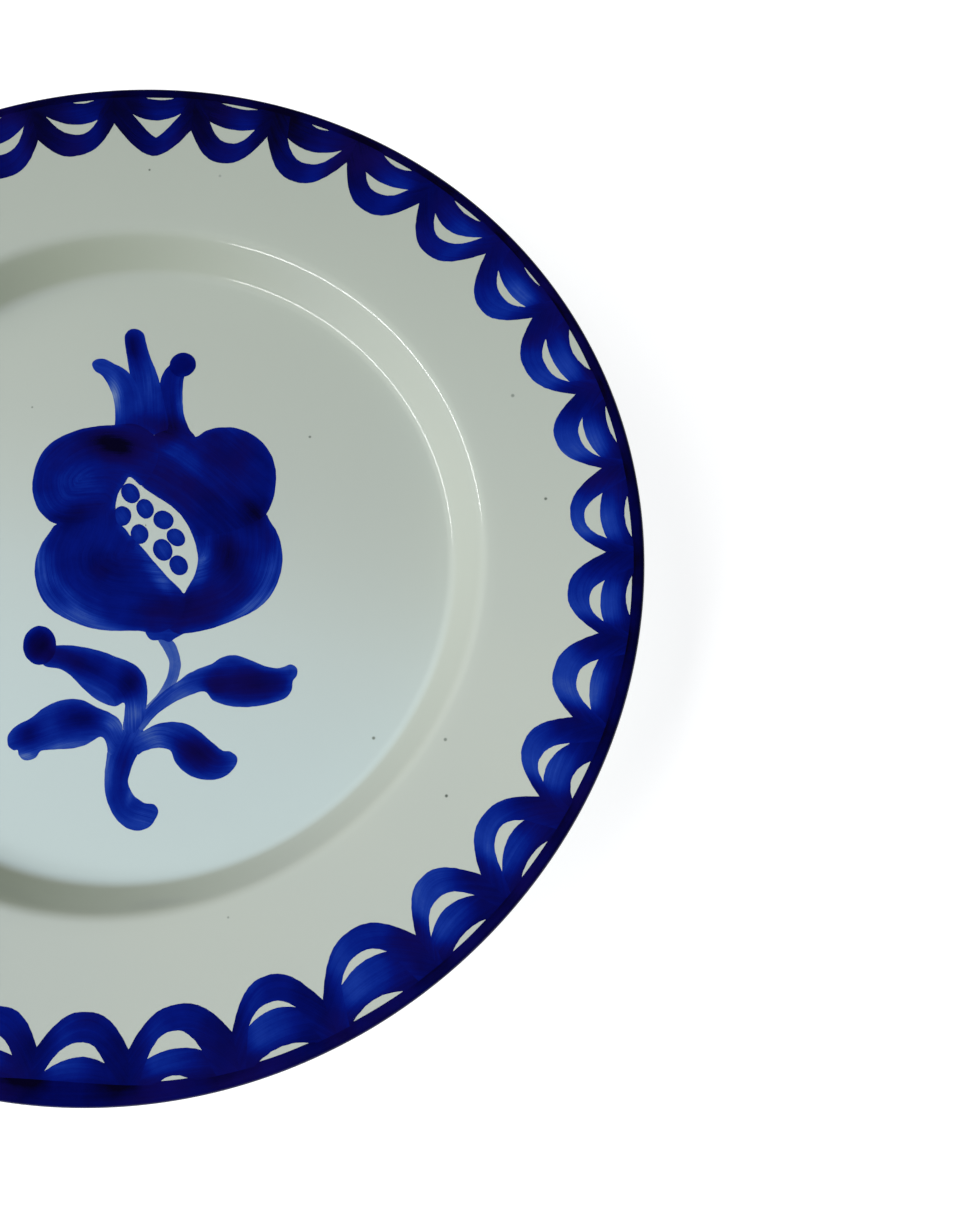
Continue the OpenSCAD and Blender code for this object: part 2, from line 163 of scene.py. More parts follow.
def out_of_round(x, y):
    """Places in mm after the rim, which is a little wider on the near side, was pulled out."""
    r, a = np.hypot(x, y), np.arctan2(y, x)
    k = 1 + 0.9 * np.exp(-((a + 1.25) / 0.55) ** 2) * smoothstep(138, 148, r) / np.maximum(r, 1)
    return x * k, y * k


def outlines(node):
    """Closed outlines in mm of the upward faces of a node, one for each stroke."""
    mesh = nodes[node].data
    key = {}
    same = [key.setdefault((round(v.co.x / MM, 3), round(v.co.y / MM, 3)), len(key))
            for v in mesh.vertices]
    place = {i: p for p, i in key.items()}
    sides = Counter()
    for poly in mesh.polygons:
        if poly.normal.z > 0.7:
            loop = [same[i] for i in poly.vertices]
            sides.update((a, b) for a, b in zip(loop, loop[1:] + loop[:1]) if a != b)
    after = {a: b for a, b in sides if sides[a, b] > sides.get((b, a), 0)}
    found = []
    while after:
        start, at = next(iter(after.items()))
        del after[start]
        loop = [start]
        while at != start:
            loop.append(at)
            at = after.pop(at)
        found.append(np.array([place[i] for i in loop]))
    return [loop for loop in found if len(loop) > 2]


# ------------------------------------------------------------ mesh builders
def new_piece(name, verts_mm, faces, material, slot, replaced, normals=None):
    """A mesh object that rides on the plate. normals, if given, has one for each vertex of
    the first faces, and all other faces are flat."""
    mesh = bpy.data.meshes.new(name)
    mesh.from_pydata(np.asarray(verts_mm) * MM, [], faces)
    mesh.polygons.foreach_set("use_smooth", [True] * len(faces))
    if normals is not None:
        count, given = normals
        corners = []
        for poly in mesh.polygons:
            own = poly.index < count
            corners += [given[v] if own else poly.normal for v in poly.vertices]
        mesh.normals_split_custom_set(corners)
    mesh.materials.append(material)
    piece = bpy.data.objects.new(name, mesh)
    bpy.context.scene.collection.objects.link(piece)
    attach(piece, "root")
    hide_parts(*replaced)
    return piece


def turned(sections):
    """Vertices and faces of a closed turned skin. sections[j][k] is the radius and height of
    point k at angle j, counter-clockwise round the section in a plot of height over radius."""
    sections = np.asarray(sections)
    steps, count = sections.shape[:2]
    a = np.repeat(2 * math.pi * np.arange(steps) / steps, count)
    r, z = sections.reshape(-1, 2).T
    x, y = r * np.cos(a), r * np.sin(a)
    faces = []
    for j in range(steps):
        b, c = j * count, (j + 1) % steps * count
        for k in range(count):
            n = (k + 1) % count
            faces.append((b + k, c + k, c + n, b + n))
    return np.column_stack([*out_of_round(x, y), z + unevenness(x, y)]), faces


def closed_on_axis(low, high):
    """Vertices and faces of a turned skin whose two sides start on the plate's axis."""
    section = np.vstack([low[1:], high[:0:-1]])
    verts, faces = turned([section] * SEGMENTS)
    count = len(section)
    faces = [f for i, f in enumerate(faces) if i % count != count - 1]
    under, over = len(verts), len(verts) + 1
    for j in range(SEGMENTS):
        b, c = j * count, (j + 1) % SEGMENTS * count
        faces.append((under, c, b))
        faces.append((over, b + count - 1, c + count - 1))
    lift = float(unevenness(0.0, 0.0))
    return np.vstack([verts, [0, 0, low[0][1] + lift], [0, 0, high[0][1] + lift]]), faces


def distance_to(points, a, b):
    """Distance of each point to the nearest of the segments a[i]-b[i]."""
    nearest = np.full(len(points), 1e9)
    for p, q in zip(a, b):
        d = q - p
        t = np.clip(((points - p) @ d) / max(d @ d, 1e-12), 0, 1)
        nearest = np.minimum(nearest, np.hypot(*(points - p - t[:, None] * d).T))
    return nearest


def inside(points, loop):
    """Which points lie inside the closed outline."""
    hit = np.zeros(len(points), bool)
    for p, q in zip(loop, np.roll(loop, -1, axis=0)):
        if p[1] != q[1]:
            across = (p[1] > points[:, 1]) != (q[1] > points[:, 1])
            x = p[0] + (points[:, 1] - p[1]) / (q[1] - p[1]) * (q[0] - p[0])
            hit ^= across & (points[:, 0] < x)
    return hit


def shared_sides(loop, others, line_r):
    """Which sides of an outline touch another stroke or the rim line."""
    middle = (loop + np.roll(loop, -1, axis=0)) / 2
    shared = np.hypot(*middle.T) > line_r - RIM_REACH_MM
    low, high = loop.min(0) - 1, loop.max(0) + 1
    for other in others:
        if (other.min(0) < high).all() and (other.max(0) > low).all():
            shared |= distance_to(middle, other, np.roll(other, -1, axis=0)) < TOUCH_MM
    return shared


def refined(loop, shared):
    """The outline in short steps: curved through its points where it is free, straight
    and pushed out a little where a neighbour shares it. Also which points are free."""
    n = len(loop)
    points, free = [], []
    for i in range(n):
        p0, p1, p2, p3 = (loop[(i + k) % n] for k in (-1, 0, 1, 2))
        side = p2 - p1
        length = np.hypot(*side)
        steps = max(1, math.ceil(length / EDGE_STEP_MM))
        before, after = shared[i - 1], shared[(i + 1) % n]
        if before or sharp(p1 - p0, side):
            p0 = 2 * p1 - p2
        if after or sharp(side, p3 - p2):
            p3 = 2 * p2 - p1
        out = np.array([side[1], -side[0]]) / max(length, 1e-9) * LAP_MM
        for k in range(steps):
            s = k / steps
            if shared[i]:
                points.append(p1 + side * s + (out if k or before else 0))
                free.append(not (k or before))
            else:
                p = 0.5 * (2 * p1 + (p2 - p0) * s + (2 * p0 - 5 * p1 + 4 * p2 - p3) * s ** 2
                           + (3 * p1 - p0 - 3 * p2 + p3) * s ** 3)
                ragged = noise.noise(Vector((p[0] * 0.55, p[1] * 0.55, 1.3)))
                points.append(p + out / LAP_MM * EDGE_RAGGED_MM * ragged * bool(k or not before))
                free.append(True)
    return np.array(points), np.array(free)


def sharp(a, b):
    """Whether an outline has a corner between its sides a and b."""
    turn = math.atan2(a[0] * b[1] - a[1] * b[0], a[0] * b[0] + a[1] * b[1])
    return abs(turn) > CORNER


def open_sides(tris):
    """Sides of the triangles that have no neighbour."""
    sides = {(a, b) for t in tris for a, b in zip(t, t[1:] + t[:1])}
    return [(a, b) for a, b in sides if (b, a) not in sides]


def largest_patch(tris):
    """The triangles that hang together side by side in the largest group."""
    owner = {(a, b): k for k, t in enumerate(tris) for a, b in zip(t, t[1:] + t[:1])}
    left, best = set(range(len(tris))), []
    while left:
        patch, todo = [], [left.pop()]
        while todo:
            k = todo.pop()
            patch.append(k)
            t = tris[k]
            for a, b in zip(t, t[1:] + t[:1]):
                near = owner.get((b, a))
                if near in left:
                    left.remove(near)
                    todo.append(near)
        best = max(best, patch, key=len)
    return [tris[k] for k in best]


def film(loop, shared, height):
    """One stroke of cobalt: vertices, top triangles, then the rest of its faces, and the
    distance of each vertex to the stroke's free edge."""
    edge, free = refined(loop, shared)
    following = np.roll(edge, -1, axis=0)
    along = following - np.roll(edge, 1, axis=0)
    inwards = np.column_stack([-along[:, 1], along[:, 0]])
    inwards /= np.maximum(np.hypot(*inwards.T), 1e-9)[:, None]
    low, high = edge.min(0), edge.max(0)
    rows = np.arange(low[1], high[1], CELL_MM * math.sqrt(3) / 2)
    grid = np.array([(x + (j % 2) * CELL_MM / 2, y) for j, y in enumerate(rows)
                     for x in np.arange(low[0], high[0], CELL_MM)])
    inner = []
    for points, reach in ((edge + 0.35 * inwards, 0.3), (edge + 0.9 * inwards, 0.8),
                          (grid, 1.4)):
        points = points[inside(points, edge)]
        inner.append(points[distance_to(points, edge, following) > reach])
    points = np.vstack([edge] + inner)
    ring = [(i, (i + 1) % len(edge)) for i in range(len(edge))]
    cdt = geometry.delaunay_2d_cdt([Vector(p) for p in points], ring, [], 1, 1e-5)
    flat, tris = np.array([tuple(v) for v in cdt[0]]), [tuple(f) for f in cdt[2]]
    rim = open_sides(tris)
    if max(Counter(a for a, _ in rim).values()) > 1:
        tris = largest_patch(tris)
        rim = open_sides(tris)
    used = sorted({i for t in tris for i in t})
    renumber = {old: new for new, old in enumerate(used)}
    flat = flat[used]
    tris = [tuple(renumber[i] for i in t) for t in tris]
    rim = [(renumber[a], renumber[b]) for a, b in rim]
    loose = free & np.roll(free, -1)
    gap = distance_to(flat, edge[loose], following[loose])
    thick = FILM_EDGE_MM + (FILM_MM - FILM_EDGE_MM) * smoothstep(0, FILM_FADE_MM, gap)
    base = height(*flat.T)
    n = len(flat)
    verts = np.vstack([np.column_stack([flat, base + thick]),
                       np.column_stack([flat, base - SINK_MM])])
    rest = [(c + n, b + n, a + n) for a, b, c in tris]
    rest += [(b, a, a + n, b + n) for a, b in rim]
    return verts, tris, rest, np.concatenate([gap, gap])


# ----------------------------------------------------------------- colours
def srgb(r, g, b):
    """A linear colour from its 0-255 display values."""
    return tuple(((c / 255 + 0.055) / 1.055) ** 2.4 if c > 10 else c / 255 / 12.92
                 for c in (r, g, b))


# Cobalt from thin to thick, and where it turns purple
COBALT_STOPS = [(0.0, srgb(120, 140, 176)), (0.13, srgb(78, 100, 158)),
                (0.26, srgb(46, 74, 152)), (0.38, srgb(20, 50, 144)), (0.5, srgb(7, 33, 128)),
                (0.62, srgb(3, 18, 110)), (0.75, srgb(2, 9, 86)), (0.88, srgb(3, 4, 58)),
                (1.0, srgb(4, 2, 26))]
PURPLE = srgb(19, 9, 74)
# How much of the purple shows at each depth of cobalt, from black for none to white
BLACK, WHITE = (0, 0, 0), (1, 1, 1)
PURPLE_STOPS = [(0.58, BLACK), (0.76, WHITE), (0.88, WHITE), (1, BLACK)]
# Glaze: its patches, a painted sheen on the near part of the well, steep parts (thin glaze with
# painted shade), painted shade on the steep parts on the left, painted shade on the far side
GLAZE_STOPS = [(0.35, (0.42, 0.466, 0.44)), (0.65, (0.436, 0.476, 0.436))]
WELL_SHEEN_PAINT = (0.455, 0.54, 0.545)
STEEP_THIN_GLAZE_AND_SHADE = (0.375, 0.41, 0.372)
LEFT_WALL_SHADE_PAINT = (0.39, 0.432, 0.347)
FAR_SHADE_PAINT = (0.36, 0.398, 0.356)
CLAY_STOPS = [(0.2, srgb(172, 140, 104)), (0.5, srgb(198, 168, 130)),
              (0.8, srgb(214, 188, 152))]
# The larger pinholes in the glaze: how many, how far out they lie and their radii in mm, and
# their shades of grey
PINHOLES = 16
PINHOLES_OUT_MM = 126
PINHOLE_MM = (0.4, 0.75)
PINHOLE_GREYS = (92, 150)
# Specks: cells per metre, radius in metres, share of the cells that have one, and colour
SPECKS = [(95.0, 0.00030, 0.10, srgb(92, 98, 92)), (45.0, 0.0006, 0.16, srgb(150, 156, 148)),
          (28.0, 0.00045, 0.10, srgb(58, 62, 58))]


# --------------------------------------------------------------- materials
def material(name):
    """A new node material: its node tree, its shader and a maker of linked nodes."""
    made = bpy.data.materials.new(name)
    made.use_nodes = True
    tree = made.node_tree
    shader = tree.nodes["Principled BSDF"]

    def add(kind, inputs=(), **settings):
        """A new node; an input is either linked to another node or set to a value."""
        node = tree.nodes.new("ShaderNode" + kind)
        for key, value in settings.items():
            setattr(node, key, value)
        for socket, value in dict(inputs).items():
            if isinstance(value, bpy.types.NodeSocket):
                tree.links.new(value, node.inputs[socket])
            else:
                node.inputs[socket].default_value = value
        return node

    return made, tree, shader, add


def ramp(add, factor, stops):
    """A colour that runs through the stops, each a place from 0 to 1 and a colour."""
    node = add("ValToRGB", {"Fac": factor})
    marks = node.color_ramp.elements
    while len(marks) < len(stops):
        marks.new(0.5)
    for mark, (at, colour) in zip(marks, stops):
        mark.position, mark.color = at, (*colour, 1)
    return node.outputs["Color"]


def cobalt(name, streaks, roughness, gloss=0.5):
    """Cobalt in the glaze: blue by its depth, streaked along the brush's path, most of all
    where it was wiped thin, and purple in places where it lies thick."""
    made, tree, shader, add = material(name)
    depth = add("Attribute", attribute_name="depth").outputs["Fac"]
    thin = add("Attribute", attribute_name="thin").outputs["Fac"]
    brush = add("Attribute", attribute_name="brush").outputs["Vector"]
    place = add("TexCoord").outputs["Object"]
    wave = 0.0
    for scale, across, amount in ((0.035, 0.55, 0.5), (0.05, 1.5, 0.4), (0.05, 4.5, 0.4)):
        stretched = add("VectorMath", {0: brush, 1: (scale, across, 1)}, operation="MULTIPLY")
        lines = add("TexNoise", {"Vector": stretched.outputs[0], "Scale": 1.0, "Detail": 3.0})
        wave = shifted(add, wave, lines.outputs["Fac"], streaks * amount)
    strength = add("MapRange", {0: thin, 3: 0.8, 4: 2.2}).outputs[0]
    total = add("Math", {0: wave, 1: strength, 2: depth}, operation="MULTIPLY_ADD").outputs[0]
    blotch = add("TexNoise", {"Vector": place, "Scale": 160.0, "Detail": 2.0})
    total = shifted(add, total, blotch.outputs["Fac"], 0.16)
    grain = add("TexNoise", {"Vector": place, "Scale": 1500.0, "Detail": 2.0})
    total = shifted(add, total, grain.outputs["Fac"], 0.05)
    patch = add("TexNoise", {"Vector": place, "Scale": 38.0, "Detail": 2.0})
    purple = add("MapRange", {0: patch.outputs["Fac"], 1: 0.44, 2: 0.64, 4: 0.45})
    thick = ramp(add, total, PURPLE_STOPS)
    both = add("Math", {0: purple.outputs[0], 1: thick}, operation="MULTIPLY")
    colour = add("Mix", {0: both.outputs[0], 6: ramp(add, total, COBALT_STOPS), 7: (*PURPLE, 1)},
                 data_type="RGBA").outputs[2]
    tree.links.new(colour, shader.inputs["Base Color"])
    shader.inputs["Roughness"].default_value = roughness
    shader.inputs["Specular IOR Level"].default_value = gloss
    tree.links.new(ripple(add), shader.inputs["Normal"])
    return made


def shifted(add, value, wave, amount):
    """value + (wave - 0.5) * amount"""
    low = add("MapRange", {0: wave, 1: 0.0, 2: 1.0, 3: -amount / 2, 4: amount / 2})
    return add("Math", {0: value, 1: low.outputs[0]}, operation="ADD").outputs[0]


def ripple(add):
    """The slightly wavy skin of a poured glaze."""
    place = add("TexCoord").outputs["Object"]
    wave = add("TexNoise", {"Vector": place, "Scale": 120.0, "Detail": 2.0})
    return add("Bump", {"Height": wave.outputs["Fac"], "Strength": 0.25,
                        "Distance": 0.00004}).outputs["Normal"]


def pinholes():
    """Places, radii and colours of the larger pinholes, scattered evenly by a seeded draw."""
    scatter = np.random.default_rng(12)
    for _ in range(PINHOLES):
        turn = scatter.uniform(0, 2 * math.pi)
        r = PINHOLES_OUT_MM * math.sqrt(scatter.random())
        grey = scatter.uniform(*PINHOLE_GREYS)
        yield (r * math.cos(turn), r * math.sin(turn), scatter.uniform(*PINHOLE_MM),
               srgb(grey - 8, grey, grey - 6))


def glaze(name):
    """White glaze with pinholes and specks, and light painted into its colour: a pale bluish
    painted sheen on the near part of the well, painted shade that greys it towards the far side,
    steep parts greener where the glaze runs thin and darker by painted shade, and a darker
    yellow-green painted shade on the steep parts at the left."""
    made, tree, shader, add = material(name)
    where = add("TexCoord")
    place = where.outputs["Object"]
    patch = add("TexNoise", {"Vector": place, "Scale": 9.0, "Detail": 3.0})
    colour = ramp(add, patch.outputs["Fac"], GLAZE_STOPS)

    def blended(colour, share, tint):
        """The colour so far, with a share of the tint over it."""
        return add("Mix", {0: share, 6: colour, 7: (*tint, 1)}, data_type="RGBA").outputs[2]

    def ranged(value, low, high, **settings):
        """0 where the value is at low, 1 where it is at high."""
        return add("MapRange", {0: value, 1: low, 2: high}, **settings).outputs[0]

    parts = add("SeparateXYZ", {0: place}).outputs
    # Grows towards the near side of the plate; it places the painted sheen and the painted
    # far-side shade
    nearness = add("VectorMath", {0: place, 1: (-0.3, -1.0, 0.0)}, operation="DOT_PRODUCT")
    near_side = ranged(nearness.outputs["Value"], -0.05, 0.06, interpolation_type="SMOOTHSTEP")
    well = add("Math", {0: near_side, 1: ranged(parts[2], 0.0185, 0.0150)},
               operation="MULTIPLY")
    # Painted sheen: a pale bluish tint over the near part of the well
    colour = blended(colour, well.outputs[0], WELL_SHEEN_PAINT)
    # Painted shade: the glaze greyer towards the far side
    colour = blended(colour, ranged(nearness.outputs["Value"], 0.01, -0.13), FAR_SHADE_PAINT)
    upright = add("SeparateXYZ", {0: where.outputs["Normal"]}).outputs[2]
    steep = ranged(add("Math", {0: upright}, operation="ABSOLUTE").outputs[0], 0.97, 0.6)
    # Steep parts: greener where the glaze runs thin, and darker by painted shade
    colour = blended(colour, steep, STEEP_THIN_GLAZE_AND_SHADE)
    # Painted shade: a darker yellow-green on the steep parts at the left, which face away from
    # the light
    left_wall_shade = add("Math", {0: steep, 1: ranged(parts[0], 0.05, -0.03)}, operation="MULTIPLY")
    colour = blended(colour, left_wall_shade.outputs[0], LEFT_WALL_SHADE_PAINT)
    in_plan = add("VectorMath", {0: place, 1: (1, 1, 0)}, operation="MULTIPLY").outputs[0]
    for x, y, radius, tint in pinholes():
        gap = add("VectorMath", {0: in_plan, 1: (x * MM, y * MM, 0)}, operation="DISTANCE")
        colour = blended(colour, ranged(gap.outputs["Value"], radius * MM, 0.4 * radius * MM),
                         tint)
    for scale, radius, share, tint in SPECKS:
        cell = add("TexVoronoi", {"Vector": place, "Scale": scale, "Randomness": 1.0})
        reach = radius * scale
        near = add("MapRange", {0: cell.outputs["Distance"], 1: reach, 2: 0.45 * reach})
        chosen = add("Math", {0: cell.outputs["Color"], 1: share}, operation="LESS_THAN")
        both = add("Math", {0: near.outputs[0], 1: chosen.outputs[0]}, operation="MULTIPLY")
        colour = blended(colour, both.outputs[0], tint)
    tree.links.new(colour, shader.inputs["Base Color"])
    shader.inputs["Roughness"].default_value = 0.1
    shader.inputs["Specular IOR Level"].default_value = 0.31
    tree.links.new(ripple(add), shader.inputs["Normal"])
    return made


def clay(name):
    """Bare fired clay: matt and gritty."""
    made, tree, shader, add = material(name)
    place = add("TexCoord").outputs["Object"]
    grit = add("TexNoise", {"Vector": place, "Scale": 900.0, "Detail": 4.0})
    soft = add("TexNoise", {"Vector": place, "Scale": 40.0, "Detail": 3.0})
    both = shifted(add, soft.outputs["Fac"], grit.outputs["Fac"], 0.7)
    tree.links.new(ramp(add, both, CLAY_STOPS), shader.inputs["Base Color"])
    tree.links.new(add("MapRange", {0: grit.outputs["Fac"], 3: 0.75, 4: 0.95}).outputs[0],
                   shader.inputs["Roughness"])
    bump = add("Bump", {"Height": grit.outputs["Fac"], "Strength": 0.6, "Distance": 0.0003})
    tree.links.new(bump.outputs["Normal"], shader.inputs["Normal"])
    return made


white_glaze = glaze("white_glaze")
fired_clay = clay("fired_clay")
paints = {"cobalt_dark": cobalt("cobalt_dark", 0.18, 0.09, 0.16),
          "cobalt": cobalt("cobalt", 0.36, 0.1),
          "cobalt_light": cobalt("cobalt_light", 0.36, 0.1)}
slot_of = {part["node"]: part["material_slot"] for part in frame["record"]["subparts"]}

# ------------------------------------------------------------------- glaze
face = rings(from_axis(turned_profile("face_glaze", True, True)))
face_low = rings(from_axis(turned_profile("face_glaze", True, False)))
verts, faces = closed_on_axis(face_low, face)
new_piece("face_glaze_skin", verts, faces, white_glaze, "white_glaze", ["face_glaze"])


def back_skin():
    """The glaze of the back, with the shallow rings that throwing left under it."""
    back = rings(turned_profile("back_glaze", False, True), 1.2)
    thrown = np.sin(back[:, 0] * 2 * math.pi / THROWN_STEP_MM)
    back[:, 1] += THROWN_MM * thrown * smoothstep(0, 8, 146 - back[:, 0])
    back_low = rings(turned_profile("back_glaze", False, False))
    section = np.vstack([back, back_low[::-1]])
    verts, faces = turned([section] * SEGMENTS)
    new_piece("back_glaze_skin", verts, faces, white_glaze, "white_glaze", ["back_glaze"])


def base_disc():
    """The disc of glaze inside the foot, with a round and wandering edge."""
    low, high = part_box("base_glaze")
    base_r, under_z, over_z = high.x / MM, low.z / MM, high.z / MM
    tall = over_z - under_z
    bead = [(base_r - tall * (1 - math.cos(w)), over_z - tall * math.sin(w))
            for w in np.linspace(0, math.pi / 2, 7)]
    inwards = np.linspace(base_r - tall - 1, 0, 30)
    verts, faces = closed_on_axis([(r, under_z) for r in inwards[::-1]] + bead[::-1],
                                  [(r, over_z) for r in inwards[::-1]])
    turn, reach = np.arctan2(verts[:, 1], verts[:, 0]), np.hypot(verts[:, 0], verts[:, 1])
    wander = (0.5 + 0.3 * np.sin(3 * turn + 1) + 0.25 * np.sin(7 * turn)
              + 0.15 * np.sin(16 * turn + 2))
    verts[:, :2] *= (1 - wander * smoothstep(base_r - 12, base_r, reach) / base_r)[:, None]
    new_piece("base_glaze_skin", verts, faces, white_glaze, "white_glaze", ["base_glaze"])


def turned_foot():
    """The foot ring, trimmed on the wheel: fine grooves on its sides, worn edges."""
    mesh = nodes["foot_ring"].data
    corners = np.array(sorted({(round(math.hypot(v.co.x, v.co.y) / MM, 2),
                                round(v.co.z / MM, 2)) for v in mesh.vertices}))
    order = np.arctan2(*(corners - corners.mean(0)).T[::-1]) - math.pi / 2
    side = resampled(corners[np.argsort(order % (2 * math.pi))], 0.3)
    for _ in range(3):
        side[1:-1] = 0.5 * side[1:-1] + 0.25 * (side[:-2] + side[2:])
    heading = np.gradient(side, axis=0)
    normal = np.column_stack([heading[:, 1], -heading[:, 0]]) / np.hypot(*heading.T)[:, None]
    foot_top = side[:, 1].max()
    upright = np.abs(normal[:, 0]) ** 2 * smoothstep(0, 1.2, foot_top - side[:, 1])
    sections = []
    for j in range(SEGMENTS):
        a = 2 * math.pi * j / SEGMENTS
        wave = 0.05 * np.sin(side[:, 1] * 5.2 + a) + 0.04 * np.sin(side[:, 1] * 11 - 2 * a + 1)
        chips = 0.08 * noise.noise(Vector((14 * math.cos(a), 14 * math.sin(a), 2)))
        depth = (wave - 0.06) * upright + min(chips, 0) * (1 - upright)
        sections.append(side + normal * depth[:, None])
    verts, faces = turned(sections)
    # the standing face stays flat on the table, and the top follows the body
    lift = unevenness(verts[:, 0], verts[:, 1])
    share = np.clip((verts[:, 2] - lift) / foot_top, 0, 1)
    verts[:, 2] += lift * (share - 1)
    new_piece("foot_ring_turned", verts, faces, fired_clay, "fired_clay", ["foot_ring"])


back_skin()
base_disc()
turned_foot()
nodes["clay_body"].data.materials.clear()
nodes["clay_body"].data.materials.append(fired_clay)

crest = int(np.argmax(face[:, 1]))


def face_height(x, y):
    """Height of the glazed face in mm, up to the crest of the rim."""
    r, z = face[:crest + 1].T
    return np.interp(np.hypot(x, y), r, z) + unevenness(x, y)


def face_normals(x, y, reach=0.3):
    """Normals of the glazed face at places in mm."""
    slope = [(face_height(x + dx, y + dy) - face_height(x - dx, y - dy)) / (2 * reach)
             for dx, dy in ((reach, 0), (0, reach))]
    up = np.column_stack([-slope[0], -slope[1], np.ones(len(x))])
    return up / np.linalg.norm(up, axis=1)[:, None]


# --------------------------------------------------------- cobalt: outlines
strokes = {n: outlines(n) for n in nodes
           if slot_of[n].startswith("cobalt") and n != "rim_line"}
line_r = max(np.hypot(*loop.T).max() for loop in strokes["outer_scallops"])
everything = [loop for loops in strokes.values() for loop in loops]


def paint_piece(name, loops, node, colouring, lift=0.0):
    """One piece for all the strokes of a node. colouring(i, x, y, gap) gives the vertices of
    stroke i their depth of cobalt, their places along and across the brush's path, a number
    that tells this path from others, and how far they were wiped thin."""
    verts, tops, rest, depth, brush, thin = [], [], [], [], [], []
    shift = 0
    for i, loop in enumerate(loops):
        others = [o for o in everything if o is not loop]
        v, t, r, gap = film(loop, shared_sides(loop, others, line_r), face_height)
        verts.append(np.column_stack([*out_of_round(v[:, 0], v[:, 1]), v[:, 2] + lift]))
        tops += [tuple(k + shift for k in f) for f in t]
        rest += [tuple(k + shift for k in f) for f in r]
        shift += len(v)
        d, along, across, seed, wiped = colouring(i, v[:, 0], v[:, 1], gap)
        depth.append(d)
        thin.append(wiped + np.zeros(len(v)))
        brush.append(np.column_stack([along, across, np.full(len(v), seed)]))
    verts = np.vstack(verts)
    slot = slot_of[node]
    piece = new_piece(name, verts, tops + rest, paints[slot], slot, [node],
                      (len(tops), face_normals(verts[:, 0], verts[:, 1])))
    paint_on(piece, np.concatenate(depth), np.vstack(brush), np.concatenate(thin))


def paint_on(piece, depth, brush, thin):
    """Store what the cobalt material reads at each vertex."""
    for name, values in (("depth", depth), ("thin", thin)):
        data = piece.data.attributes.new(name, "FLOAT", "POINT").data
        data.foreach_set("value", np.asarray(values, np.float32))
    data = piece.data.attributes.new("brush", "FLOAT_VECTOR", "POINT").data
    data.foreach_set("vector", np.asarray(brush, np.float32).ravel())


# ----------------------------------------------------------- cobalt: border
def span(loop):
    """First and last angle of a stroke of the border, in radians."""
    middle = math.atan2(*loop.mean(0)[::-1])
    turn = np.arctan2(loop[:, 1], loop[:, 0]) - middle
    turn = (turn + math.pi) % (2 * math.pi) - math.pi
    return middle + turn.min(), middle + turn.max()


outer_spans = [span(loop) for loop in strokes["outer_scallops"]]


def overlap(i, s, r):
    """Extra cobalt where the strokes of neighbouring scallops lie over each other."""
    late = 0.5 + 0.1 * noise.noise(Vector((i * 3.7, 0.5, 0)))
    near = smoothstep(late, 0.94, s) + 0.9 * smoothstep(0.26, 0.02, s)
    return np.minimum(near, 1) * smoothstep(127.5, 135.5, r)


def tone(i, seed):
    """How dark a stroke of scallop i was painted: the border is heavier at the near side and
    most of all at the far side, and no two strokes are alike."""
    turn = sum(outer_spans[i]) / 2
    far = math.sin(turn)
    uneven = noise.noise(Vector((9 * math.cos(turn), 9 * far, seed)))
    return 0.42 + 0.15 * far ** 2 + 0.2 * smoothstep(0.5, 1.0, far) + 0.16 * uneven


def crossed(own, i, s, x, y):
    """Depth own, made up to that of two strokes where neighbours lie over each other."""
    r = np.hypot(x, y)
    both = 0.79 + 0.15 * smoothstep(0.7, 0.97, y / r)
    return own + np.maximum(both - own, 0.04) * overlap(i, s, r)


def in_scallop(i, x, y):
    """How far along scallop i places are, from 0 to 1, and their radius in mm."""
    first, last = outer_spans[i]
    turn = (np.arctan2(y, x) - first + math.pi) % (2 * math.pi) - math.pi
    return np.clip(turn / (last - first), 0, 1), np.hypot(x, y)


def outer_colouring(i, x, y, gap):
    """What paint_piece asks for, on outer stroke i of the border."""
    s, r = in_scallop(i, x, y)
    own = tone(i, 5.3) + 0.06 - 0.1 * np.exp(-((s - 0.3) / 0.16) ** 2)
    return crossed(own, i, s, x, y), s * 24, r - 10 * (2 * s - 1) ** 2, i * 7.0, 0.0


def inner_colouring(stroke, x, y, gap):
    """The same on an inner stroke, which takes its scallop from the nearest outer one."""
    middle = np.mean(span(strokes["inner_scallops"][stroke]))
    i = min(range(len(outer_spans)), key=lambda k: abs(
        (np.mean(outer_spans[k]) - middle + math.pi) % (2 * math.pi) - math.pi))
    s, r = in_scallop(i, x, y)
    own = tone(i, 2.9) - 0.06 + 0.2 * smoothstep(0.3, 0.8, s)
    own += np.maximum(0.8 - own, 0) * smoothstep(140.5, 146.4, r)
    return crossed(own, i, s, x, y), s * 24, r - 3 * (2 * s - 1) ** 2, i * 7.0 + 3, 0.0


paint_piece("outer_scallop_strokes", strokes["outer_scallops"], "outer_scallops", outer_colouring)
paint_piece("inner_scallop_strokes", strokes["inner_scallops"], "inner_scallops",
            inner_colouring, 0.002)


def rim_depth(a, s):
    """Depth of cobalt on the rim line at angle a and s mm from its inner edge."""
    x, y = math.cos(a), math.sin(a)
    turns = [(a - first) % (2 * math.pi) / (last - first) for first, last in outer_spans]
    i = int(np.argmin(turns))
    top = 0.5 + 0.5 * math.cos(a - math.radians(65))
    return 0.8 + 0.12 * top + 0.12 * overlap(i, min(turns[i], 1.0), 140.0) * np.exp(-s / 2.5)


